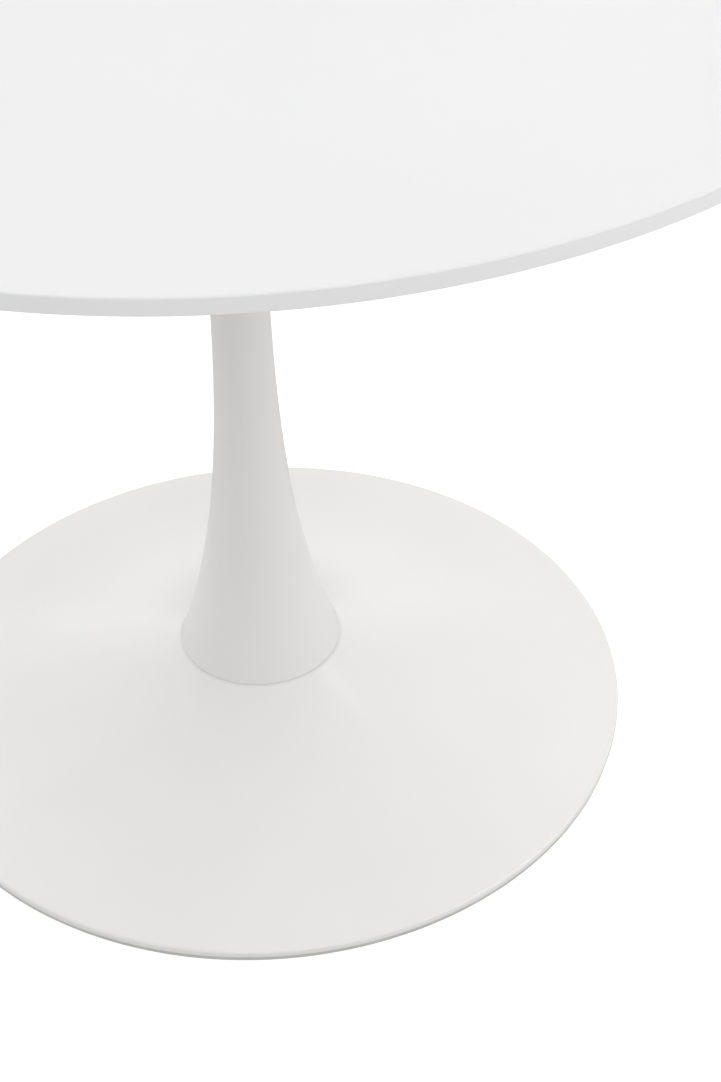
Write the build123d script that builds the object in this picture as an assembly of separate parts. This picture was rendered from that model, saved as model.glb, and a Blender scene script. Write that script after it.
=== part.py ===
from build123d import *
import math
import os

# Round pedestal table: a thin lacquered round top on a trumpet-shaped plastic column, which stands on a
# shallow spun-steel foot. One tie rod runs down the axis and clamps the top's mounting plate, the column
# and the foot together. Millimetres, +Z up, origin on the floor under the centre of the table.

# ---- Overall sizes ----
table_height = 750.0        # floor to the upper face of the top
top_radius = 500.0
base_radius = 300.0

# ---- Top board ----
edge_height = 12.0          # upright face that shows all round
board_thickness = 18.0
bevel_width = 70.0          # shallow bevel under the edge, from full thickness to the edge height
upper_arris = 1.2           # rounding of the upper edge
lower_arris = 0.8
insert_radius = 4.5         # outside of the threaded inserts
insert_length = 10.0
insert_hole_depth = 13.0

# ---- Fasteners ----
m6_radius = 3.0
m6_head_radius = 5.5
m6_head_height = 3.3
m6_washer_radius = 6.4
m6_washer_thickness = 1.6
m6_screw_length = 16.0
m6_key_width = 4.0          # hexagon socket, across flats
m8_radius = 4.0
m8_head_radius = 7.0
m8_head_height = 4.4
m8_key_width = 5.0
head_rounding = 0.7         # share of a button head's height that is rounded over
socket_share = 0.6          # depth of its socket, as a share of its height
m12_radius = 6.0
m12_nut_width = 18.0        # across flats
m12_nut_height = 10.8
m12_washer_radius = 12.0
m12_washer_thickness = 2.5
spring_washer_radius = 10.5
spring_washer_thickness = 2.4
spring_washer_gap = 2.5     # the split
rod_tail = 6.0              # rod below the nut
rod_end_gap = 3.0           # rod's upper end to the bottom of its threaded hole
rod_chamfer = 1.2

# ---- Mounting plate under the top ----
plate_radius = 165.0
plate_thickness = 4.0
plate_lip_depth = 12.0      # turned-down lip that stiffens the plate
plate_bend = 7.0            # outside radius of the lip's bend
top_pad_thickness = 1.0     # soft ring between plate and board
top_pad_bore = 55.0         # its inner radius
screw_circle = 138.0        # radius of the circle of mounting screws
screw_count = 6
boss_radius = 18.0          # threaded boss for the tie rod
boss_height = 30.0
boss_bore_depth = 26.0
centring_height = 12.0      # cones that centre the column at both ends
head_ring_wall = 5.0

# ---- Column ----
foot_radius = 65.8
waist_radius = 22.6
head_radius = 46.0
waist_height = 470.0
foot_curve = 3.1            # power of the flare below the waist
head_curve = 2.8            # power of the flare above the waist
column_wall = 4.0
foot_lip_chamfer = 0.3
gasket_thickness = 0.4
gasket_setback = 0.3        # the gasket stays inside the column's outline, which leaves a fine dark line
sleeve_length = 55.0
sleeve_rise = 12.0          # how far above the waist the rod sleeve starts

# ---- Foot ----
seat_height = 70.0          # flat seat under the column
seat_land = 2.0             # width of the seat that shows outside the column
seat_roll = 1.0             # rounding between the seat and the slope
base_curve = 2.2            # power of the slope from the rim up to the seat
sheet_thickness = 2.0
rim_roll = 2.5              # outside radius of the rolled rim
rim_skirt = 3.0             # upright part of the rim below the roll
floor_gap = 4.2             # rim to floor, filled by the soft floor ring
floor_ring_setback = 0.9
floor_ring_width = 12.0
ballast_thickness = 10.0
ballast_floor_gap = 4.0     # thickness of the glide pads
ballast_clearance = 2.5     # ballast plate to the sheet above it
ballast_access_radius = 34.0
hub_tube_radius = 45.0
hub_tube_wall = 7.0
hub_flange_thickness = 6.0
hub_top_radius = 58.0
hub_bottom_radius = 75.0
hub_screw_circle = 60.0
hub_screw_count = 4
hub_screw_reach = 5.5       # thread engagement in the hub's flange
pin_radius = 3.0
pin_circle = 28.0
pin_count = 2
pin_engagement = 5.0        # how far each pin enters the hub and the centring disc
pad_count = 6
pad_radius = 14.0
pad_rounding = 1.0
pad_inset = 26.0            # centre of a glide pad, in from the ballast plate's edge
damping_inset = 42.0        # damping ring's outer side, in from the ballast plate's edge
damping_width = 26.0

# ---- Clearances ----
close_fit = 0.05            # screws in threads, pins, inserts
free_fit = 0.4              # screws through plain holes, rod through discs
shell_fit = 0.3             # between curved faces
cone_fit = 0.3              # centring cones inside the column

# ---- Levels worked out from the sizes above ----
board_bottom = table_height - board_thickness
plate_top = board_bottom - top_pad_thickness
plate_bottom = plate_top - plate_thickness
head_height = plate_bottom - gasket_thickness
foot_height = seat_height + gasket_thickness
rim_centre_height = floor_gap + rim_skirt
rim_height = rim_centre_height + rim_roll
seat_radius = foot_radius + seat_land
slope_end_radius = base_radius - rim_roll
ballast_bottom = ballast_floor_gap
ballast_top = ballast_bottom + ballast_thickness
screw_recess_top = ballast_bottom + m8_head_height + free_fit
hub_top = seat_height - sheet_thickness
hub_web_bottom = hub_top - hub_flange_thickness
curve_points = 13           # points that carry each formula curve


def column_radius(height):
    """Outer radius of the column: two flares that meet at the waist."""
    if height < waist_height:
        reach = (waist_height - height) / (waist_height - foot_height)
        return waist_radius + (foot_radius - waist_radius) * reach ** foot_curve
    reach = (height - waist_height) / (head_height - waist_height)
    return waist_radius + (head_radius - waist_radius) * reach ** head_curve


def bore_radius(height):
    """Inner radius of the column."""
    return column_radius(height) - column_wall


def slope_height(radius):
    """Height of the foot's outer face between the rim and the seat."""
    reach = (slope_end_radius - radius) / (slope_end_radius - seat_radius)
    return rim_height + (seat_height - rim_height) * reach ** base_curve


def slope_radius(height):
    """Radius at which the foot's outer face has this height."""
    reach = ((height - rim_height) / (seat_height - rim_height)) ** (1 / base_curve)
    return slope_end_radius - (slope_end_radius - seat_radius) * reach


ballast_radius = slope_radius(ballast_top + ballast_clearance + sheet_thickness)


def between(start, end, count):
    """Evenly spaced values from start to end, both ends exact."""
    shares = [step / (count - 1) for step in range(count)]
    return [start * (1 - share) + end * share for share in shares]


def turned(*edges):
    """Solid of revolution about Z from edges that close an outline of (radius, height)."""
    outline = Plane.XZ * make_face(list(edges))
    return revolve(outline, axis=Axis.Z)


def turned_outline(*points):
    """Solid of revolution about Z from straight-sided (radius, height) points."""
    return turned(Polyline(*points, close=True))


def ring(outer, inner, bottom, top):
    """Plain ring, square in section."""
    return turned_outline((inner, bottom), (outer, bottom), (outer, top), (inner, top))


def disc(radius, bottom, top):
    """Plain disc on the axis."""
    return Pos(0, 0, bottom) * Cylinder(radius, top - bottom, align=(Align.CENTER, Align.CENTER, Align.MIN))


def around(shape, radius, count, first_angle=0.0):
    """Copies of a shape made on the Z axis, set out on a circle."""
    places = PolarLocations(radius, count, first_angle)
    return [place * shape for place in places]


def lowest_circle(body):
    """The body's lowest round edge."""
    return body.edges().filter_by(GeomType.CIRCLE).sort_by(Axis.Z)[0]


def drilled(body, radius, bottom, top, circle, count, first_angle=0.0):
    """The body with a circle of round holes cut through it."""
    for hole in around(disc(radius, bottom, top), circle, count, first_angle):
        body = body - hole
    return body


def socket_screw(radius, length, head_radius, head_height, key_width, head_bottom):
    """Button-head screw that points up, with a hexagon socket in its head."""
    head_top = head_bottom + head_height
    head = disc(head_radius, head_bottom, head_top)
    head = fillet(lowest_circle(head), head_height * head_rounding)
    key = RegularPolygon(key_width / 2, 6, major_radius=False)
    socket = extrude(Pos(0, 0, head_bottom) * key, head_height * socket_share)
    return head - socket + disc(radius, head_top, head_top + length)


# ---- Top ----
def tabletop():
    """Board with a thin upright edge and a shallow bevel below it."""
    edge_bottom = table_height - edge_height
    board = turned_outline(
        (0, board_bottom),
        (top_radius - bevel_width, board_bottom),
        (top_radius, edge_bottom),
        (top_radius, table_height),
        (0, table_height),
    )
    board = fillet(board.edges().filter_by(GeomType.CIRCLE).sort_by(Axis.Z)[-1], upper_arris)
    circles = board.edges().filter_by(GeomType.CIRCLE)
    above_bevel = [circle for circle in circles if circle.center().Z > edge_bottom - upper_arris]
    board = fillet(min(above_bevel, key=lambda circle: circle.center().Z), lower_arris)
    return drilled(board, insert_radius + close_fit, board_bottom, board_bottom + insert_hole_depth,
                   screw_circle, screw_count)


def threaded_inserts():
    """Brass inserts pressed into the board for the mounting screws."""
    insert = ring(insert_radius, m6_radius + close_fit, board_bottom, board_bottom + insert_length)
    return around(insert, screw_circle, screw_count)


def top_pad():
    """Soft ring between the mounting plate and the board."""
    pad = ring(plate_radius - plate_bend, top_pad_bore, plate_top, board_bottom)
    return drilled(pad, insert_radius, plate_top, board_bottom, screw_circle, screw_count)


def mounting_plate():
    """Pressed round plate with a turned-down lip."""
    bend_radius = plate_radius - plate_bend
    bend_height = plate_top - plate_bend
    lip_bottom = plate_top - plate_lip_depth
    inner_bend = plate_bend - plate_thickness
    lip_inner = plate_radius - plate_thickness
    outer_diagonal = plate_bend * math.sqrt(0.5)
    inner_diagonal = inner_bend * math.sqrt(0.5)
    plate = turned(
        Polyline((bend_radius, plate_bottom), (0, plate_bottom), (0, plate_top), (bend_radius, plate_top)),
        ThreePointArc((bend_radius, plate_top),
                      (bend_radius + outer_diagonal, bend_height + outer_diagonal),
                      (plate_radius, bend_height)),
        Polyline((plate_radius, bend_height), (plate_radius, lip_bottom), (lip_inner, lip_bottom),
                 (lip_inner, bend_height)),
        ThreePointArc((lip_inner, bend_height),
                      (bend_radius + inner_diagonal, bend_height + inner_diagonal),
                      (bend_radius, plate_bottom)),
    )
    return drilled(plate, m6_radius + free_fit, plate_bottom, plate_top, screw_circle, screw_count)


def mounting_washers():
    """Washers under the mounting screws' heads."""
    washer = ring(m6_washer_radius, m6_radius + free_fit, plate_bottom - m6_washer_thickness, plate_bottom)
    return around(washer, screw_circle, screw_count)


def mounting_screws():
    """Screws that hold the plate to the top, driven from below."""
    head_bottom = plate_bottom - m6_washer_thickness - m6_head_height
    screw = socket_screw(m6_radius, m6_screw_length, m6_head_radius, m6_head_height, m6_key_width,
                         head_bottom)
    return around(screw, screw_circle, screw_count)


def rod_boss():
    """Boss welded under the plate, threaded for the tie rod."""
    boss_bottom = plate_bottom - boss_height
    boss = disc(boss_radius, boss_bottom, plate_bottom)
    return boss - disc(m12_radius + close_fit, boss_bottom, boss_bottom + boss_bore_depth)


def head_centring_ring():
    """Conical ring welded under the plate; it centres the top of the column."""
    ring_bottom = plate_bottom - centring_height
    lower_radius = bore_radius(ring_bottom) - cone_fit
    upper_radius = bore_radius(head_height) - cone_fit
    return turned_outline(
        (lower_radius - head_ring_wall, ring_bottom),
        (lower_radius, ring_bottom),
        (upper_radius, head_height),
        (upper_radius, plate_bottom),
        (lower_radius - head_ring_wall, plate_bottom),
    )


def head_gasket():
    """Thin gasket between the column and the mounting plate."""
    return ring(head_radius - gasket_setback, bore_radius(head_height), head_height, plate_bottom)


# ---- Column ----
def column_shell():
    """Hollow trumpet: one wall thickness between two formula curves."""
    lower = between(foot_height + foot_lip_chamfer, waist_height, curve_points)
    upper = between(waist_height, head_height, curve_points)
    outer_lower = Spline([(column_radius(z), z) for z in lower])
    outer_upper = Spline([(column_radius(z), z) for z in upper])
    inner_lower = Spline([(bore_radius(z), z) for z in between(foot_height, waist_height, curve_points)])
    inner_upper = Spline([(bore_radius(z), z) for z in upper])
    foot_end = Polyline(
        (bore_radius(foot_height), foot_height),
        (foot_radius - foot_lip_chamfer, foot_height),
        (column_radius(foot_height + foot_lip_chamfer), foot_height + foot_lip_chamfer),
    )
    head_end = Line((head_radius, head_height), (bore_radius(head_height), head_height))
    return turned(foot_end, outer_lower, outer_upper, head_end, inner_upper, inner_lower)


def tie_rod():
    """Threaded rod from the boss under the top to the nut inside the foot."""
    rod_bottom = hub_web_bottom - m12_washer_thickness - spring_washer_thickness - m12_nut_height - rod_tail
    rod_top = plate_bottom - boss_height + boss_bore_depth - rod_end_gap
    rod = disc(m12_radius, rod_bottom, rod_top)
    return chamfer(rod.edges().filter_by(GeomType.CIRCLE), rod_chamfer)


def rod_sleeve():
    """Plastic sleeve that rests on the narrowing just above the waist and steadies the rod."""
    sleeve_bottom = waist_height + sleeve_rise
    sleeve_top = sleeve_bottom + sleeve_length
    return turned_outline(
        (m12_radius + free_fit, sleeve_bottom),
        (bore_radius(sleeve_bottom) - cone_fit, sleeve_bottom),
        (bore_radius(sleeve_top) - cone_fit, sleeve_top),
        (m12_radius + free_fit, sleeve_top),
    )


def foot_centring_disc():
    """Conical disc on the seat; it centres the lower end of the column."""
    disc_top = seat_height + centring_height
    body = turned_outline(
        (m12_radius + free_fit, seat_height),
        (bore_radius(foot_height) - cone_fit, seat_height),
        (bore_radius(foot_height) - cone_fit, foot_height),
        (bore_radius(disc_top) - cone_fit, disc_top),
        (m12_radius + free_fit, disc_top),
    )
    return drilled(body, pin_radius + close_fit, seat_height, seat_height + pin_engagement, pin_circle,
                   pin_count)


def foot_gasket():
    """Thin gasket between the column and the seat."""
    return ring(foot_radius - gasket_setback, bore_radius(foot_height), seat_height, foot_height)


def locating_pins():
    """Pins that keep the column and the foot from turning against each other."""
    pin = disc(pin_radius, hub_top - pin_engagement, seat_height + pin_engagement)
    return around(pin, pin_circle, pin_count)


# ---- Foot ----
def base_shell():
    """Spun sheet: flat seat, hollow slope and rolled rim."""
    rolled_radius = seat_radius + seat_roll
    slope = between(rolled_radius, slope_end_radius, curve_points)
    outer_slope = Spline([(r, slope_height(r)) for r in slope])
    inner_slope = Spline([(r, slope_height(r) - sheet_thickness) for r in slope])
    rim_diagonal = rim_roll * math.sqrt(0.5)
    inner_roll = rim_roll - sheet_thickness
    inner_diagonal = inner_roll * math.sqrt(0.5)
    rolled_height = slope_height(rolled_radius)
    shell = turned(
        Polyline((m12_radius + free_fit, seat_height - sheet_thickness), (m12_radius + free_fit, seat_height),
                 (seat_radius - seat_roll, seat_height)),
        Bezier((seat_radius - seat_roll, seat_height), (seat_radius, seat_height),
               (rolled_radius, rolled_height)),
        outer_slope,
        ThreePointArc((slope_end_radius, rim_height),
                      (slope_end_radius + rim_diagonal, rim_centre_height + rim_diagonal),
                      (base_radius, rim_centre_height)),
        Polyline((base_radius, rim_centre_height), (base_radius, floor_gap),
                 (base_radius - sheet_thickness, floor_gap),
                 (base_radius - sheet_thickness, rim_centre_height)),
        ThreePointArc((base_radius - sheet_thickness, rim_centre_height),
                      (slope_end_radius + inner_diagonal, rim_centre_height + inner_diagonal),
                      (slope_end_radius, rim_height - sheet_thickness)),
        inner_slope,
        Bezier((rolled_radius, rolled_height - sheet_thickness), (seat_radius, seat_height - sheet_thickness),
               (seat_radius - seat_roll, seat_height - sheet_thickness)),
        Line((seat_radius - seat_roll, seat_height - sheet_thickness),
             (m12_radius + free_fit, seat_height - sheet_thickness)),
    )
    return drilled(shell, pin_radius + close_fit, seat_height - sheet_thickness, seat_height, pin_circle,
                   pin_count)


def base_hub():
    """Turned hub that carries the seat on the ballast plate and takes the tie rod's nut."""
    tube_bore = hub_tube_radius - hub_tube_wall
    flange_top = ballast_top + hub_flange_thickness
    hub = turned_outline(
        (tube_bore, ballast_top),
        (hub_bottom_radius, ballast_top),
        (hub_bottom_radius, flange_top),
        (hub_tube_radius, flange_top),
        (hub_tube_radius, hub_web_bottom),
        (hub_top_radius, hub_web_bottom),
        (hub_top_radius, hub_top),
        (m12_radius + free_fit, hub_top),
        (m12_radius + free_fit, hub_web_bottom),
        (tube_bore, hub_web_bottom),
    )
    hub = drilled(hub, pin_radius + close_fit, hub_top - pin_engagement, hub_top, pin_circle, pin_count)
    return drilled(hub, m8_radius + close_fit, ballast_top, flange_top, hub_screw_circle, hub_screw_count, 45)


def clamp_washer():
    """Plain washer under the hub's web."""
    washer_bottom = hub_web_bottom - m12_washer_thickness
    return ring(m12_washer_radius, m12_radius + free_fit, washer_bottom, hub_web_bottom)


def spring_washer():
    """Split washer that keeps the rod in tension."""
    washer_top = hub_web_bottom - m12_washer_thickness
    washer_bottom = washer_top - spring_washer_thickness
    washer = ring(spring_washer_radius, m12_radius + free_fit, washer_bottom, washer_top)
    middle = (m12_radius + spring_washer_radius) / 2
    split = Box(spring_washer_radius, spring_washer_gap, spring_washer_thickness * 2)
    return washer - Pos(middle, 0, (washer_bottom + washer_top) / 2) * split


def clamp_nut():
    """Hexagon nut on the lower end of the tie rod."""
    nut_top = hub_web_bottom - m12_washer_thickness - spring_washer_thickness
    nut_bottom = nut_top - m12_nut_height
    hexagon = RegularPolygon(m12_nut_width / 2, 6, major_radius=False)
    blank = extrude(Pos(0, 0, nut_bottom) * hexagon, m12_nut_height)
    corner = m12_nut_width / math.sqrt(3)
    flat = m12_nut_width / 2
    crown = turned_outline((0, nut_bottom), (flat, nut_bottom), (corner, nut_bottom + (corner - flat) / 2),
                           (corner, nut_top - (corner - flat) / 2), (flat, nut_top), (0, nut_top))
    return (blank & crown) - disc(m12_radius + close_fit, nut_bottom, nut_top)


def ballast_plate():
    """Heavy steel disc that gives the table its stability."""
    plate = ring(ballast_radius, ballast_access_radius, ballast_bottom, ballast_top)
    plate = drilled(plate, m8_radius + free_fit, ballast_bottom, ballast_top, hub_screw_circle,
                    hub_screw_count, 45)
    return drilled(plate, m8_head_radius + free_fit, ballast_bottom, screw_recess_top, hub_screw_circle,
                   hub_screw_count, 45)


def hub_screws():
    """Screws that hold the ballast plate to the hub, with their heads sunk in the plate."""
    length = ballast_top - screw_recess_top + hub_screw_reach
    screw = socket_screw(m8_radius, length, m8_head_radius, m8_head_height, m8_key_width,
                         screw_recess_top - m8_head_height)
    return around(screw, hub_screw_circle, hub_screw_count, 45)


def damping_ring():
    """Foam ring between the ballast plate and the sheet; it stops the sheet from ringing."""
    outer = ballast_radius - damping_inset
    inner = outer - damping_width
    foam_top = Spline([(r, slope_height(r) - sheet_thickness - shell_fit) for r in between(outer, inner, 4)])
    sides = Polyline(
        (inner, slope_height(inner) - sheet_thickness - shell_fit),
        (inner, ballast_top),
        (outer, ballast_top),
        (outer, slope_height(outer) - sheet_thickness - shell_fit),
    )
    return turned(foam_top, sides)


def floor_ring():
    """Soft ring under the rolled rim, which keeps the rim off the floor."""
    inner = base_radius - floor_ring_width
    ring_top = rim_height - sheet_thickness - shell_fit
    upstand = base_radius - sheet_thickness - shell_fit
    return turned_outline(
        (inner, 0),
        (base_radius - floor_ring_setback, 0),
        (base_radius - floor_ring_setback, floor_gap),
        (upstand, floor_gap),
        (upstand, rim_centre_height),
        (slope_end_radius, ring_top),
        (inner, ring_top),
    )


def glide_pads():
    """Pads under the ballast plate."""
    pad = disc(pad_radius, 0, ballast_bottom)
    pad = fillet(lowest_circle(pad), pad_rounding)
    return around(pad, ballast_radius - pad_inset, pad_count)


sub_parts = [
    tabletop, threaded_inserts, top_pad, mounting_plate, mounting_washers, mounting_screws, rod_boss,
    head_centring_ring, head_gasket, column_shell, tie_rod, rod_sleeve, foot_centring_disc, foot_gasket,
    locating_pins, base_shell, base_hub, clamp_washer, spring_washer, clamp_nut, ballast_plate, hub_screws,
    damping_ring, floor_ring, glide_pads,
]

os.makedirs("parts", exist_ok=True)
for sub_part in sub_parts:
    made = sub_part()
    solids = made if isinstance(made, list) else [made]
    separate = [solid for shape in solids for solid in shape.solids()]
    export_step(Compound(children=separate), f"parts/{sub_part.__name__}.step")
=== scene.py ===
import math

import bpy
from mathutils import Matrix, Vector


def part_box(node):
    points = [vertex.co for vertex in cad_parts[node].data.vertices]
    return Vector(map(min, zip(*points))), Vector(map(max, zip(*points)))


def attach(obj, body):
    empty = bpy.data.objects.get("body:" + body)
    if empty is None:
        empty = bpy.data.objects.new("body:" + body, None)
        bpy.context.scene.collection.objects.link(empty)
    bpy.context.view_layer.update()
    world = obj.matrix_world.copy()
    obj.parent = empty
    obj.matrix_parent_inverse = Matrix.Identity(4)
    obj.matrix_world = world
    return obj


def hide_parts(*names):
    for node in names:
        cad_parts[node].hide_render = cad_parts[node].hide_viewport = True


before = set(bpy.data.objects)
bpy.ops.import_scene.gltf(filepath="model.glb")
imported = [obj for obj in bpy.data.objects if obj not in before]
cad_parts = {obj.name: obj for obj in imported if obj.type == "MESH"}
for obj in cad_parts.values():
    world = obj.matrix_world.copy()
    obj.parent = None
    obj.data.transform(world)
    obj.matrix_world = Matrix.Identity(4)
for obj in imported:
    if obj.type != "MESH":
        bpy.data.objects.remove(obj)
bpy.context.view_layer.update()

# Round pedestal table, metres, origin on the floor under the centre of the table, +Z up.

BODY = "root"
MM = 0.001
ROUND_STEPS = 288           # steps round the axis of a large turned piece
HOLE_STEPS = 48             # steps round a drilled hole
ROD_STEPS = 48              # steps round the tie rod
CURVE_STEPS = 72            # steps along a long flowing curve
BEND_STEPS = 10             # steps round a small bend or rounded corner
ARRIS_STEPS = 3             # steps round a broken edge on a part seen only from below
SUPPORT = 0.5 * MM          # how close to a rounding a flat face has its first row of points
SUPPORT_SHARE = 0.25        # and the most that this may be of a short face
ON_AXIS = 1e-7              # a point nearer to the axis than this is a single vertex
DRILL_MARGIN = 1 * MM       # how far a drill reaches past the face that it opens
SHARP_ANGLE = math.radians(35)      # faces that meet at more than this have a crisp corner

# ---- Sizes that the boxes in the frame don't give, with the CAD model's values ----
EDGE_HEIGHT = 12 * MM
BEVEL_WIDTH = 70 * MM
UPPER_ARRIS = 1.2 * MM
LOWER_ARRIS = 0.8 * MM
WAIST_RADIUS = 22.6 * MM
WAIST_HEIGHT = 470 * MM
HEAD_RADIUS = 46 * MM
FOOT_RADIUS = 65.8 * MM
FOOT_CURVE = 3.1
HEAD_CURVE = 2.8
COLUMN_WALL = 4 * MM
FOOT_LIP = 0.3 * MM
SEAT_LAND = 2 * MM
SEAT_ROLL = 1 * MM
BASE_CURVE = 2.2
SHEET = 2 * MM
RIM_ROLL = 2.5 * MM
RIM_SKIRT = 3 * MM
FLOOR_RING_WIDTH = 12 * MM
ROD_HOLE = 6.4 * MM
SHELL_FIT = 0.3 * MM
INSERT_HOLE = 4.55 * MM
INSERT_HOLE_DEPTH = 13 * MM
SCREW_CIRCLE = 138 * MM
SCREW_COUNT = 6
SCREW_HOLE = 3.4 * MM
PLATE_THICKNESS = 4 * MM
PLATE_BEND = 7 * MM
BALLAST_ARRIS = 0.5 * MM
PIN_HOLE = 3.05 * MM
PIN_CIRCLE = 28 * MM
PIN_COUNT = 2
ROD_RADIUS = 6 * MM
THREAD_PITCH = 1.75 * MM
THREAD_DEPTH = 0.9 * MM
CREST_START = 0.44          # shares of the pitch at which the flat crest of the thread starts and ends
CREST_END = 0.56
ACCESS_RADIUS = 34 * MM
HUB_SCREW_CIRCLE = 60 * MM
HUB_SCREW_COUNT = 4
HUB_SCREW_ANGLE = 45
HUB_SCREW_HOLE = 4.4 * MM
HUB_HEAD_HOLE = 7.4 * MM
HUB_HEAD_DEPTH = 4.8 * MM

# ---- Sizes read from the frame ----
top_low, top_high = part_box("tabletop")
column_low, column_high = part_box("column_shell")
base_low, base_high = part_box("base_shell")
ring_low, ring_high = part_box("floor_ring")
plate_low, plate_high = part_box("mounting_plate")
ballast_low, ballast_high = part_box("ballast_plate")
rod_low, rod_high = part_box("tie_rod")
TABLE_HEIGHT = top_high.z
BOARD_BOTTOM = top_low.z
TOP_RADIUS = top_high.x
FOOT_HEIGHT = column_low.z
HEAD_HEIGHT = column_high.z
BASE_RADIUS = base_high.x
SEAT_HEIGHT = base_high.z
FLOOR_GAP = base_low.z
RIM_CENTRE = FLOOR_GAP + RIM_SKIRT
RIM_HEIGHT = RIM_CENTRE + RIM_ROLL
SLOPE_END = BASE_RADIUS - RIM_ROLL
SEAT_RADIUS = FOOT_RADIUS + SEAT_LAND


# ---- Turned pieces ----
def spaced(start, end, steps):
    """Evenly spaced values from start to end, both included."""
    return [start + (end - start) * step / steps for step in range(steps + 1)]


def bend(centre, radius, start, end, steps=BEND_STEPS):
    """Points of an arc in (radius, height), angles in degrees from outward, anticlockwise."""
    angles = [math.radians(angle) for angle in spaced(start, end, steps)]
    return [(centre[0] + radius * math.cos(a), centre[1] + radius * math.sin(a)) for a in angles]


def flat(start, end, rows=1):
    """Inner points of a flat stretch; the two close to its ends keep the rounding's shading off it."""
    close = min(SUPPORT / math.dist(start, end), SUPPORT_SHARE)
    shares = [close] + spaced(0, 1, rows)[1:-1] + [1 - close]
    return [tuple(a + (b - a) * share for a, b in zip(start, end)) for share in shares]


def turned(name, outline, steps=ROUND_STEPS):
    """Closed solid of revolution from an outline of (radius, height) points, anticlockwise."""
    vertices = []
    rows = []
    for radius, height in outline:
        if radius < ON_AXIS:
            rows.append([len(vertices)] * steps)
            vertices.append((0, 0, height))
            continue
        rows.append([len(vertices) + step for step in range(steps)])
        for step in range(steps):
            angle = 2 * math.pi * step / steps
            vertices.append((radius * math.cos(angle), radius * math.sin(angle), height))
    faces = []
    for row, following in zip(rows, rows[1:] + rows[:1]):
        if row[0] == row[1] and following[0] == following[1]:
            continue
        for step in range(steps):
            ahead = (step + 1) % steps
            corners = [row[step], row[ahead], following[ahead], following[step]]
            faces.append(list(dict.fromkeys(corners)))  # a row on the axis is one point, so three corners
    mesh = bpy.data.meshes.new(name)
    mesh.from_pydata(vertices, [], faces)
    mesh.validate()
    piece = bpy.data.objects.new(name, mesh)
    bpy.context.scene.collection.objects.link(piece)
    return piece


def drilled(piece, radius, bottom, top, circle, count, first_angle=0):
    """Cuts round holes along Z into a piece, from bottom to top, evenly spaced on a circle."""
    drill = turned("drill", [(0, bottom), (radius, bottom), (radius, top), (0, top)], HOLE_STEPS)
    drills = [drill]
    for index in range(count):
        angle = math.radians(first_angle) + 2 * math.pi * index / count
        if index:
            drills.append(drill.copy())
            bpy.context.scene.collection.objects.link(drills[-1])
        drills[-1].location = (circle * math.cos(angle), circle * math.sin(angle), 0)
    for tool in drills:
        cut = piece.modifiers.new("hole", "BOOLEAN")
        cut.operation = "DIFFERENCE"
        cut.object = tool
    before = piece.data
    graph = bpy.context.evaluated_depsgraph_get()
    piece.data = bpy.data.meshes.new_from_object(piece.evaluated_get(graph))
    piece.modifiers.clear()
    bpy.data.meshes.remove(before)
    drill_mesh = drill.data
    for tool in drills:
        bpy.data.objects.remove(tool)
    bpy.data.meshes.remove(drill_mesh)


def dress(piece, material, node):
    """Smooth shading with crisp corners, a material, and the CAD node that the piece stands for."""
    mesh = piece.data
    mesh.shade_smooth()
    mesh.set_sharp_from_angle(angle=SHARP_ANGLE)
    mesh.materials.clear()
    mesh.materials.append(material)
    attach(piece, BODY)
    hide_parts(node)


def finish_nodes(material, *nodes):
    """Gives CAD nodes whose shape is right a detailed material."""
    for node in nodes:
        piece = bpy.data.objects[node]
        for place in piece.material_slots:
            place.material = material


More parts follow.
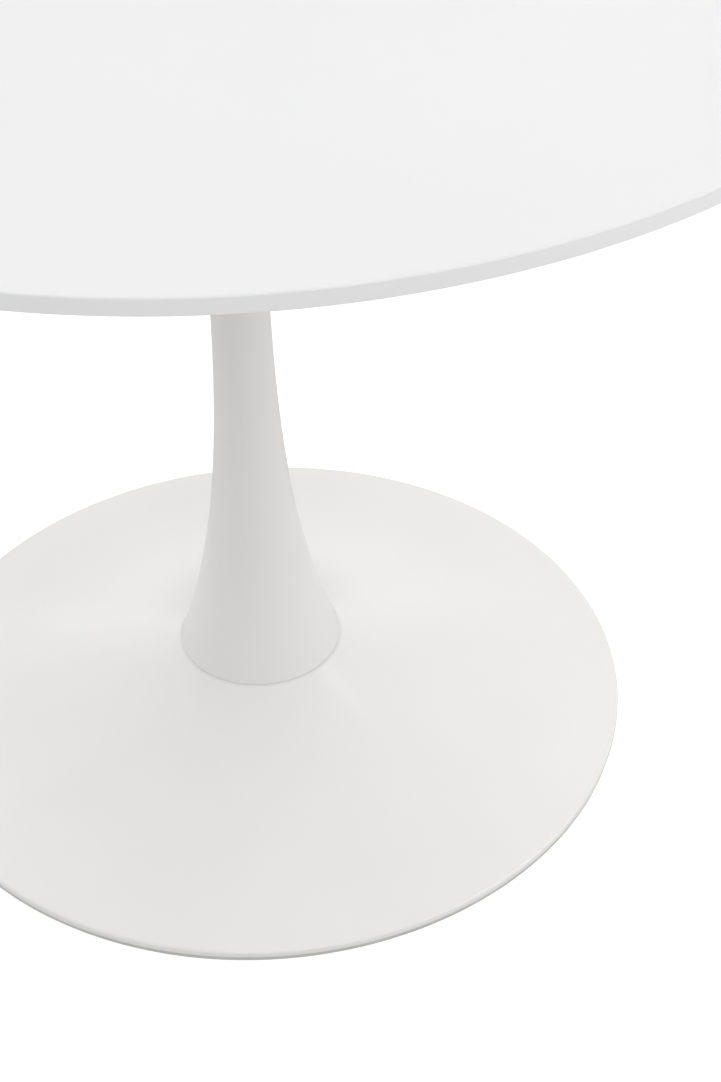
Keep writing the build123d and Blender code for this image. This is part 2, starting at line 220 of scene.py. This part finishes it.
# ---- Materials ----
class Shader:
    """A material's node tree, with short ways to add nodes and join them; scales are per metre."""

    NOISE_LOW = 0.3             # a noise's values lie mostly between these two
    NOISE_HIGH = 0.7

    def __init__(self, name):
        self.material = bpy.data.materials.new(name)
        self.material.use_nodes = True
        self.tree = self.material.node_tree
        self.surface = self.tree.nodes["Principled BSDF"]
        self.place = self.add("ShaderNodeTexCoord").outputs["Object"]

    def add(self, kind):
        return self.tree.nodes.new(kind)

    def join(self, source, target):
        self.tree.links.new(source, target)

    def stretched(self, x, y, z):
        """Object coordinates scaled along each axis, for marks that run in one direction."""
        node = self.add("ShaderNodeMapping")
        node.inputs["Scale"].default_value = (x, y, z)
        self.join(self.place, node.inputs["Vector"])
        return node.outputs["Vector"]

    def rings(self):
        """Coordinates that depend only on height and distance from the axis, for lathe marks."""
        parts = self.add("ShaderNodeSeparateXYZ")
        self.join(self.place, parts.inputs["Vector"])
        flat_part = self.add("ShaderNodeVectorMath")
        flat_part.operation = "MULTIPLY"
        flat_part.inputs[1].default_value = (1, 1, 0)
        self.join(self.place, flat_part.inputs[0])
        distance = self.add("ShaderNodeVectorMath")
        distance.operation = "LENGTH"
        self.join(flat_part.outputs["Vector"], distance.inputs[0])
        joined = self.add("ShaderNodeCombineXYZ")
        self.join(distance.outputs["Value"], joined.inputs["X"])
        self.join(parts.outputs["Z"], joined.inputs["Y"])
        return joined.outputs["Vector"]

    def noise(self, scale, detail=3.0, place=None):
        """Smooth random values, on object coordinates unless others are given."""
        node = self.add("ShaderNodeTexNoise")
        node.inputs["Scale"].default_value = scale
        node.inputs["Detail"].default_value = detail
        self.join(place or self.place, node.inputs["Vector"])
        return node.outputs["Fac"]

    def cells(self, scale):
        """Distance from the centres of scattered cells."""
        node = self.add("ShaderNodeTexVoronoi")
        node.inputs["Scale"].default_value = scale
        self.join(self.place, node.inputs["Vector"])
        return node.outputs["Distance"]

    def tones(self, factor, low, high, start=0.35, end=0.65):
        """Colour that runs from low to high between two values of a factor."""
        node = self.add("ShaderNodeValToRGB")
        node.color_ramp.elements[0].position = start
        node.color_ramp.elements[0].color = (*low, 1)
        node.color_ramp.elements[1].position = end
        node.color_ramp.elements[1].color = (*high, 1)
        self.join(factor, node.inputs["Fac"])
        return node.outputs["Color"]

    def spread(self, factor, low, high):
        """Number that runs from low to high as a noise does, or that a factor of 0 or 1 picks."""
        node = self.add("ShaderNodeMapRange")
        node.inputs["From Min"].default_value = self.NOISE_LOW
        node.inputs["From Max"].default_value = self.NOISE_HIGH
        node.inputs["To Min"].default_value = low
        node.inputs["To Max"].default_value = high
        self.join(factor, node.inputs["Value"])
        return node.outputs["Result"]

    def bump(self, height, depth, after=None):
        """Bump of a depth in metres, on top of another bump if one is given."""
        node = self.add("ShaderNodeBump")
        node.inputs["Strength"].default_value = 1.0
        node.inputs["Distance"].default_value = depth
        self.join(height, node.inputs["Height"])
        if after is not None:
            self.join(after, node.inputs["Normal"])
        return node.outputs["Normal"]

    def look(self, colour, roughness, normal):
        """Joins the three values that vary over a surface to the shader."""
        self.join(colour, self.surface.inputs["Base Color"])
        self.join(roughness, self.surface.inputs["Roughness"])
        self.join(normal, self.surface.inputs["Normal"])

    def fix(self, **values):
        """Values that are the same all over, set on the shader's own sockets."""
        for name, value in values.items():
            self.surface.inputs[name.replace("_", " ")].default_value = value


def white_coat(name, colour, roughness, coat, peel):
    """White lacquer, paint or moulded plastic: faint tone drift, fine orange peel, uneven gloss."""
    shader = Shader(name)
    shade = tuple(0.985 * channel for channel in colour)
    waves = shader.bump(shader.noise(45.0, 2.0), peel)
    shader.look(
        shader.tones(shader.noise(4.0, 2.0), shade, colour),
        shader.spread(shader.noise(60.0, 4.0), roughness * 0.9, roughness * 1.1),
        shader.bump(shader.noise(900.0, 2.0), peel, waves),
    )
    shader.fix(IOR=1.5, Coat_Weight=coat, Coat_Roughness=0.1)
    return shader.material


def powder_coat(name, low, high, grain):
    """Powder coating: a fine pebbled skin over steel."""
    shader = Shader(name)
    pebbles = shader.bump(shader.cells(900.0), grain)
    shader.look(
        shader.tones(shader.noise(25.0, 5.0), low, high),
        shader.spread(shader.noise(120.0), 0.42, 0.58),
        shader.bump(shader.noise(300.0, 2.0), grain, pebbles),
    )
    shader.fix(IOR=1.5)
    return shader.material


def metal(name, low, high, roughness):
    """Bare or plated metal with the fine ring marks of turning."""
    shader = Shader(name)
    mark_depth = 0.01 * MM
    marks = shader.noise(1500.0, 4.0, shader.rings())
    stain = shader.noise(70.0, 5.0)
    grain = shader.bump(shader.noise(500.0, 3.0), mark_depth)
    shader.look(
        shader.tones(stain, low, high),
        shader.spread(stain, roughness * 1.15, roughness * 0.85),
        shader.bump(marks, mark_depth, grain),
    )
    shader.fix(Metallic=1.0)
    return shader.material


def rough_iron():
    """Cast iron: sandy skin, dark and faintly oiled."""
    shader = Shader("hub_iron_look")
    lumps = shader.bump(shader.noise(160.0, 4.0), 0.15 * MM)
    shader.look(
        shader.tones(shader.noise(45.0, 6.0), (0.10, 0.10, 0.10), (0.20, 0.195, 0.19)),
        shader.spread(shader.noise(90.0), 0.4, 0.62),
        shader.bump(shader.cells(700.0), 0.05 * MM, lumps),
    )
    shader.fix(Metallic=0.8)
    return shader.material


def soft_plastic(name, low, high, roughness, grain_depth):
    """Matte moulded plastic or rubber with a fine spark-eroded grain."""
    shader = Shader(name)
    drift = shader.bump(shader.noise(30.0, 2.0), grain_depth)
    shader.look(
        shader.tones(shader.noise(35.0, 5.0), low, high),
        shader.spread(shader.noise(150.0), roughness * 0.9, roughness * 1.1),
        shader.bump(shader.noise(1400.0, 2.0), grain_depth, drift),
    )
    shader.fix(IOR=1.48)
    return shader.material


def closed_foam():
    """Black foam: cells the size of sand grains."""
    shader = Shader("foam_look")
    cells = shader.cells(650.0)
    shader.look(
        shader.tones(cells, (0.03, 0.03, 0.03), (0.11, 0.11, 0.11), 0.1, 0.7),
        shader.spread(shader.noise(80.0), 0.85, 0.95),
        shader.bump(cells, 0.4 * MM),
    )
    return shader.material


def grey_felt():
    """Felt: tangled fibres in two directions, with a soft sheen."""
    shader = Shader("felt_look")
    along = shader.noise(900.0, 5.0, shader.stretched(1.0, 0.15, 1.0))
    across = shader.noise(900.0, 5.0, shader.stretched(0.15, 1.0, 1.0))
    layer = shader.bump(along, 0.25 * MM)
    shader.look(
        shader.tones(along, (0.18, 0.175, 0.17), (0.42, 0.41, 0.40)),
        shader.spread(across, 0.85, 1.0),
        shader.bump(across, 0.25 * MM, layer),
    )
    shader.fix(Sheen_Weight=0.4, Sheen_Roughness=0.5)
    return shader.material


# ---- Pieces that show ----
def tabletop():
    """Round board, flat above, bevelled below towards its thin upright edge."""
    lacquer = white_coat(
        "top_lacquer_look", colour=(0.86, 0.86, 0.86), roughness=0.42, coat=0.0, peel=0.008 * MM
    )
    edge_bottom = TABLE_HEIGHT - EDGE_HEIGHT
    flat_under = (TOP_RADIUS - BEVEL_WIDTH, BOARD_BOTTOM)
    slope = math.degrees(math.atan2(edge_bottom - BOARD_BOTTOM, BEVEL_WIDTH))
    lower_rise = LOWER_ARRIS / math.tan(math.radians(45 + slope / 2))
    lower_bend = bend((TOP_RADIUS - LOWER_ARRIS, edge_bottom + lower_rise), LOWER_ARRIS, -90 + slope, 0)
    upper_bend = bend((TOP_RADIUS - UPPER_ARRIS, TABLE_HEIGHT - UPPER_ARRIS), UPPER_ARRIS, 0, 90)
    outline = [(0, BOARD_BOTTOM), *flat((0, BOARD_BOTTOM), flat_under, rows=6), flat_under]
    outline += [*flat(flat_under, lower_bend[0], rows=3), *lower_bend]
    outline += [*flat(lower_bend[-1], upper_bend[0]), *upper_bend]
    outline += [*flat(upper_bend[-1], (0, TABLE_HEIGHT), rows=8), (0, TABLE_HEIGHT)]
    board = turned("round_top", outline)
    hole_top = BOARD_BOTTOM + INSERT_HOLE_DEPTH
    drilled(board, INSERT_HOLE, BOARD_BOTTOM - DRILL_MARGIN, hole_top, SCREW_CIRCLE, SCREW_COUNT)
    dress(board, lacquer, "tabletop")


def column_radius(height):
    """Outer radius of the column: two flares that meet at the waist."""
    if height < WAIST_HEIGHT:
        reach = (WAIST_HEIGHT - height) / (WAIST_HEIGHT - FOOT_HEIGHT)
        return WAIST_RADIUS + (FOOT_RADIUS - WAIST_RADIUS) * reach ** FOOT_CURVE
    reach = (height - WAIST_HEIGHT) / (HEAD_HEIGHT - WAIST_HEIGHT)
    return WAIST_RADIUS + (HEAD_RADIUS - WAIST_RADIUS) * reach ** HEAD_CURVE


def column():
    """Hollow trumpet, wide at the foot, slim at the waist, open at both ends."""
    plastic = white_coat(
        "column_plastic_look", colour=(0.805, 0.795, 0.78), roughness=0.42, coat=0.35, peel=0.006 * MM
    )
    heights = spaced(FOOT_HEIGHT + FOOT_LIP, HEAD_HEIGHT, CURVE_STEPS)
    outline = [(FOOT_RADIUS - COLUMN_WALL, FOOT_HEIGHT)]
    outline += [(FOOT_RADIUS - FOOT_LIP, FOOT_HEIGHT)]
    outline += [(column_radius(z), z) for z in heights]
    outline += [(column_radius(z) - COLUMN_WALL, z) for z in reversed(heights)]
    dress(turned("trumpet_column", outline), plastic, "column_shell")


def slope_height(radius):
    """Height of the foot's outer face between the rim and the seat."""
    reach = max(0.0, (SLOPE_END - radius) / (SLOPE_END - SEAT_RADIUS))
    return RIM_HEIGHT + (SEAT_HEIGHT - RIM_HEIGHT) * reach ** BASE_CURVE


def seat_bend(drop):
    """Rounded step from the flat seat to the slope, on the sheet's outer face or a drop below it."""
    start = Vector((SEAT_RADIUS - SEAT_ROLL, SEAT_HEIGHT - drop))
    corner = Vector((SEAT_RADIUS, SEAT_HEIGHT - drop))
    end = Vector((SEAT_RADIUS + SEAT_ROLL, slope_height(SEAT_RADIUS + SEAT_ROLL) - drop))
    return [
        tuple(start.lerp(corner, share).lerp(corner.lerp(end, share), share))
        for share in spaced(0, 1, BEND_STEPS)
    ]


def base():
    """Shallow flared foot of one sheet: flat seat for the column, long slope, rolled rim."""
    paint = white_coat(
        "base_coat_look", colour=(0.845, 0.838, 0.822), roughness=0.42, coat=0.4, peel=0.006 * MM
    )
    radii = spaced(SEAT_RADIUS + SEAT_ROLL, SLOPE_END, CURVE_STEPS)[1:-1]
    outer_seat = seat_bend(0)
    inner_seat = seat_bend(SHEET)
    outline = [(ROD_HOLE, SEAT_HEIGHT), (ROD_HOLE, SEAT_HEIGHT - SHEET)]
    outline += [*flat(outline[-1], inner_seat[0], rows=2), *inner_seat]
    outline += [(r, slope_height(r) - SHEET) for r in radii]
    outline += bend((SLOPE_END, RIM_CENTRE), RIM_ROLL - SHEET, 90, 0)
    outline += [(BASE_RADIUS - SHEET, FLOOR_GAP), (BASE_RADIUS, FLOOR_GAP)]
    outline += bend((SLOPE_END, RIM_CENTRE), RIM_ROLL, 0, 90)
    outline += [(r, slope_height(r)) for r in reversed(radii)]
    outline += [*reversed(outer_seat), *flat(outer_seat[0], (ROD_HOLE, SEAT_HEIGHT), rows=2)]
    foot = turned("flared_foot", outline)
    drilled(foot, PIN_HOLE, SEAT_HEIGHT - 2 * SHEET, SEAT_HEIGHT + SHEET, PIN_CIRCLE, PIN_COUNT)
    dress(foot, paint, "base_shell")


def floor_ring():
    """Strip under the rim, with a step that reaches up inside it; its mid grey is partly painted shade.
    """
    # Mid grey: partly the strip's own colour, partly painted shade for the dark gap under the rolled rim.
    plastic = soft_plastic(
        "floor_ring_grey_and_shade_look",
        low=(0.55, 0.555, 0.53),
        high=(0.61, 0.615, 0.59),
        roughness=0.55,
        grain_depth=0.02 * MM,
    )
    inner = ring_high.x - FLOOR_RING_WIDTH
    upstand = BASE_RADIUS - SHEET - SHELL_FIT
    outline = [
        (inner, ring_low.z),
        (ring_high.x, ring_low.z),
        (ring_high.x, FLOOR_GAP),
        (upstand, FLOOR_GAP),
        (upstand, RIM_CENTRE),
        (SLOPE_END, ring_high.z),
        (inner, ring_high.z),
    ]
    dress(turned("floor_ring_strip", outline), plastic, "floor_ring")


# ---- Pieces seen from below ----
def mounting_plate(coat):
    """Pressed steel disc with a turned-down lip."""
    centre = (plate_high.x - PLATE_BEND, plate_high.z - PLATE_BEND)
    under = plate_high.z - PLATE_THICKNESS
    outer_bend = bend(centre, PLATE_BEND, 0, 90)
    inner_bend = bend(centre, PLATE_BEND - PLATE_THICKNESS, 90, 0)
    outline = [(0, under), *flat((0, under), inner_bend[0], rows=4), *inner_bend]
    outline += [(inner_bend[-1][0], plate_low.z), (plate_high.x, plate_low.z)]
    outline += [*outer_bend, *flat(outer_bend[-1], (0, plate_high.z), rows=4), (0, plate_high.z)]
    plate = turned("pressed_plate", outline)
    hole_top = plate_high.z + DRILL_MARGIN
    drilled(plate, SCREW_HOLE, under - DRILL_MARGIN, hole_top, SCREW_CIRCLE, SCREW_COUNT)
    dress(plate, coat, "mounting_plate")


def ballast(coat):
    """Steel disc with a broken edge all round, a wrench hole and counterbored screw holes."""
    bottom = ballast_low.z
    top = ballast_high.z
    edge = ballast_high.x - BALLAST_ARRIS
    lower_edge = bend((edge, bottom + BALLAST_ARRIS), BALLAST_ARRIS, -90, 0, ARRIS_STEPS)
    upper_edge = bend((edge, top - BALLAST_ARRIS), BALLAST_ARRIS, 0, 90, ARRIS_STEPS)
    outline = [(ACCESS_RADIUS, bottom + BALLAST_ARRIS), (ACCESS_RADIUS + BALLAST_ARRIS, bottom)]
    outline += [*flat(outline[-1], (edge, bottom), rows=4), *lower_edge]
    outline += [*upper_edge, *flat((edge, top), (ACCESS_RADIUS, top), rows=4), (ACCESS_RADIUS, top)]
    plate = turned("ballast_disc", outline)
    below = bottom - DRILL_MARGIN
    pattern = (HUB_SCREW_CIRCLE, HUB_SCREW_COUNT, HUB_SCREW_ANGLE)
    drilled(plate, HUB_SCREW_HOLE, below, top + DRILL_MARGIN, *pattern)
    drilled(plate, HUB_HEAD_HOLE, below, bottom + HUB_HEAD_DEPTH, *pattern)
    dress(plate, coat, "ballast_plate")


def threaded_rod(steel):
    """Tie rod with its thread drawn as rings of the thread's pitch."""
    root = ROD_RADIUS - THREAD_DEPTH
    turns = int((rod_high.z - rod_low.z) / THREAD_PITCH)
    outline = [(0, rod_low.z), (root, rod_low.z)]
    for turn in range(1, turns):
        start = rod_low.z + turn * THREAD_PITCH
        crest = [start + THREAD_PITCH * share for share in (CREST_START, CREST_END)]
        outline += [(root, start), (ROD_RADIUS, crest[0]), (ROD_RADIUS, crest[1])]
    outline += [(root, rod_high.z), (0, rod_high.z)]
    dress(turned("threaded_rod", outline, ROD_STEPS), steel, "tie_rod")


def under_parts():
    """The plates, fasteners, gaskets and pads that join the top, the column and the foot."""
    plate_coat = powder_coat("plate_coat_look", (0.80, 0.80, 0.79), (0.83, 0.83, 0.82), 0.06 * MM)
    black_coat = powder_coat("ballast_coat_look", (0.035, 0.035, 0.036), (0.06, 0.06, 0.06), 0.12 * MM)
    zinc = metal("zinc_steel_look", (0.55, 0.56, 0.58), (0.70, 0.71, 0.72), roughness=0.32)
    yellow = metal("brass_look", (0.62, 0.44, 0.18), (0.75, 0.58, 0.28), roughness=0.28)
    nylon = soft_plastic("inner_plastic_look", (0.20, 0.20, 0.21), (0.26, 0.26, 0.27), 0.5, 0.02 * MM)
    rubber = soft_plastic("gasket_look", (0.60, 0.60, 0.59), (0.66, 0.66, 0.65), 0.7, 0.02 * MM)
    foam = closed_foam()
    mounting_plate(plate_coat)
    ballast(black_coat)
    threaded_rod(zinc)
    finish_nodes(plate_coat, "rod_boss", "head_centring_ring")
    finish_nodes(rough_iron(), "base_hub")
    finish_nodes(zinc, "mounting_screws", "mounting_washers", "hub_screws", "clamp_washer")
    finish_nodes(zinc, "spring_washer", "clamp_nut", "locating_pins")
    finish_nodes(yellow, "threaded_inserts")
    finish_nodes(nylon, "rod_sleeve", "foot_centring_disc")
    finish_nodes(rubber, "head_gasket", "foot_gasket")
    finish_nodes(foam, "top_pad", "damping_ring")
    finish_nodes(grey_felt(), "glide_pads")


tabletop()
column()
base()
floor_ring()
under_parts()


# ---- Floor, light and camera ----
FLOOR_SIZE = 400
GLOW_ON_TABLE = 0.123       # the floor's own light as the table gets it
GLOW_IN_VIEW = 0.70         # and as the camera sees it
WORLD_STRENGTH = 1.125
WORLD_OVERHEAD = 0.4        # the world's brightness overhead, as a share of that at the horizon
WORLD_BAND = 0.5            # height of the direction at which it has dimmed that far
LIGHT_AIM = (0, 0, 0.35)


def plain_floor():
    """Floor that looks white, and lights the table as a pale grey one would, which keeps its shading."""
    bpy.ops.mesh.primitive_plane_add(size=FLOOR_SIZE, location=(0, 0, 0))
    floor = bpy.context.object
    floor.name = "floor"
    shader = Shader("floor_look")
    paper = shader.noise(2.0)
    shader.look(
        shader.tones(paper, (0.49, 0.49, 0.49), (0.51, 0.51, 0.51)),
        shader.spread(paper, 0.85, 0.95),
        shader.bump(shader.noise(300.0), 0.02 * MM),
    )
    seen = shader.add("ShaderNodeLightPath").outputs["Is Camera Ray"]
    glow = shader.spread(seen, GLOW_ON_TABLE, GLOW_IN_VIEW)
    shader.join(glow, shader.surface.inputs["Emission Strength"])
    shader.fix(Emission_Color=(1, 1, 1, 1))
    floor.data.materials.append(shader.material)


def soft_light(name, place, size, power):
    """Square white lamp of a size in metres and a power in watts, turned to the table."""
    data = bpy.data.lights.new(name, "AREA")
    data.shape = "SQUARE"
    data.size = size
    data.energy = power
    lamp = bpy.data.objects.new(name, data)
    bpy.context.scene.collection.objects.link(lamp)
    lamp.location = place
    lamp.rotation_euler = (Vector(LIGHT_AIM) - Vector(place)).to_track_quat("-Z", "Y").to_euler()


def pale_surround():
    """World that is bright near the horizon and dimmer overhead, like the walls of a white studio."""
    world = bpy.data.worlds.new("studio")
    world.use_nodes = True
    tree = world.node_tree
    direction = tree.nodes.new("ShaderNodeTexCoord").outputs["Generated"]
    parts = tree.nodes.new("ShaderNodeSeparateXYZ")
    ramp = tree.nodes.new("ShaderNodeValToRGB")
    ramp.color_ramp.elements[0].color = (1, 1, 1, 1)
    ramp.color_ramp.elements[1].position = WORLD_BAND
    ramp.color_ramp.elements[1].color = (WORLD_OVERHEAD, WORLD_OVERHEAD, WORLD_OVERHEAD, 1)
    tree.links.new(direction, parts.inputs["Vector"])
    tree.links.new(parts.outputs["Z"], ramp.inputs["Fac"])
    tree.links.new(ramp.outputs["Color"], tree.nodes["Background"].inputs["Color"])
    tree.nodes["Background"].inputs["Strength"].default_value = WORLD_STRENGTH
    bpy.context.scene.world = world


def studio_light():
    """Large lamps all round the table, strongest above its front, its right and its back left."""
    soft_light("front_top", (0.0, -2.6, 3.0), 2.0, 26.0)
    soft_light("right_front", (2.8, -1.6, 1.2), 2.0, 11.2)
    soft_light("right", (3.0, 0.0, 1.5), 2.0, 5.2)
    soft_light("left", (-3.0, 0.0, 1.5), 2.0, 9.2)
    soft_light("back_right", (2.2, 2.4, 1.8), 3.0, 11.9)
    soft_light("back_left", (-2.2, 2.4, 1.8), 3.0, 21.2)
    soft_light("back", (0.0, 3.2, 1.8), 3.0, 10.7)
    soft_light("back_top", (0.0, 2.6, 3.2), 2.4, 9.5)
    soft_light("right_top", (2.6, 0.0, 3.2), 2.0, 25.4)
    soft_light("left_top", (-2.6, 0.0, 3.2), 2.0, 7.8)


CAMERA_DISTANCE = 1.6255    # metres in front of the table's axis
CAMERA_HEIGHT = 1.5168
CAMERA_YAW = math.radians(3.0224)
CAMERA_PITCH = math.radians(39.787)
CAMERA_ROLL = math.radians(-1.7426)
CAMERA_LENS = 86.435        # millimetres, on the sensor below
CAMERA_SENSOR = 36


def photo_camera():
    """Camera in front of the table, looking down at it, turned a little right and rolled a little."""
    data = bpy.data.cameras.new("camera")
    data.lens = CAMERA_LENS
    data.sensor_width = CAMERA_SENSOR
    camera = bpy.data.objects.new("camera", data)
    bpy.context.scene.collection.objects.link(camera)
    forward = Vector((
        math.sin(CAMERA_YAW) * math.cos(CAMERA_PITCH),
        math.cos(CAMERA_YAW) * math.cos(CAMERA_PITCH),
        -math.sin(CAMERA_PITCH),
    ))
    level = Vector((math.cos(CAMERA_YAW), -math.sin(CAMERA_YAW), 0))
    upright = level.cross(forward)
    right = level * math.cos(CAMERA_ROLL) + upright * math.sin(CAMERA_ROLL)
    up = upright * math.cos(CAMERA_ROLL) - level * math.sin(CAMERA_ROLL)
    turn = Matrix((right, up, -forward)).transposed().to_4x4()
    camera.matrix_world = Matrix.Translation((0, -CAMERA_DISTANCE, CAMERA_HEIGHT)) @ turn
    bpy.context.scene.camera = camera


plain_floor()
pale_surround()
studio_light()
photo_camera()
bpy.context.scene.view_settings.view_transform = "Standard"
